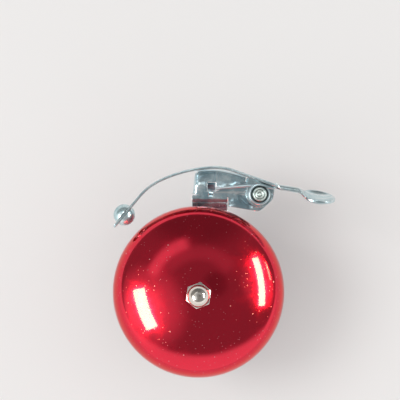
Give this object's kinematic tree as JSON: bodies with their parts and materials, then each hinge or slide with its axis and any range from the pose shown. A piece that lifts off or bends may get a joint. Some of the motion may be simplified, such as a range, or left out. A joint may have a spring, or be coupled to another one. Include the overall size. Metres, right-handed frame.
{
  "type": "bicycle bell",
  "caption": "Round handlebar bell: domed resonator on a post, stamped bracket, sprung thumb lever carrying a striker ball, and a strap clamp for the handlebar.",
  "frame": {"origin": "centre of the handlebar bore, on the dome's axis", "axes": "+X along the handlebar towards the thumb pad, +Y towards the lever side of the dome, +Z along the dome's axis away from the handlebar"},
  "size_m": [0.0779, 0.0739, 0.066],
  "materials": {
    "anodised_red": "polished aluminium, anodised red",
    "nickel": "bright nickel plate",
    "nylon": "moulded black nylon",
    "zinc_turned": "zinc-plated turned and headed steel",
    "spring_steel": "zinc-plated spring wire",
    "zinc_sheet": "bright zinc plate with a blue passivation",
    "rubber": "moulded black rubber"
  },
  "bodies": {
    "base": {"dome": "anodised_red", "acorn_nut": "nickel", "dome_washer": "nylon", "spacer_tube": "zinc_turned", "base_washer": "zinc_turned", "lock_washer": "spring_steel", "centre_screw": "zinc_turned", "bracket": "zinc_sheet", "clamp_band": "zinc_sheet", "clamp_liner": "rubber", "clamp_screw": "zinc_turned", "clamp_washer": "zinc_turned", "clamp_lock_washer": "spring_steel", "clamp_nut": "zinc_turned", "pivot_washer": "zinc_turned", "pivot_bush": "zinc_turned", "pivot_rivet": "zinc_turned", "torsion_spring": "spring_steel"},
    "lever": {"lever": "zinc_sheet", "striker_ball": "nickel"}
  },
  "joints": [
    {"name": "lever_pivot", "type": "hinge", "parent": "base", "child": "lever", "pos_m": [0.0214, 0.0341, 0.0243], "axis": [0, 0, -1], "range_deg": [-4.9, 22], "stiffness_Nm_per_rad": 0.097, "deforming": ["torsion_spring"]}
  ]
}
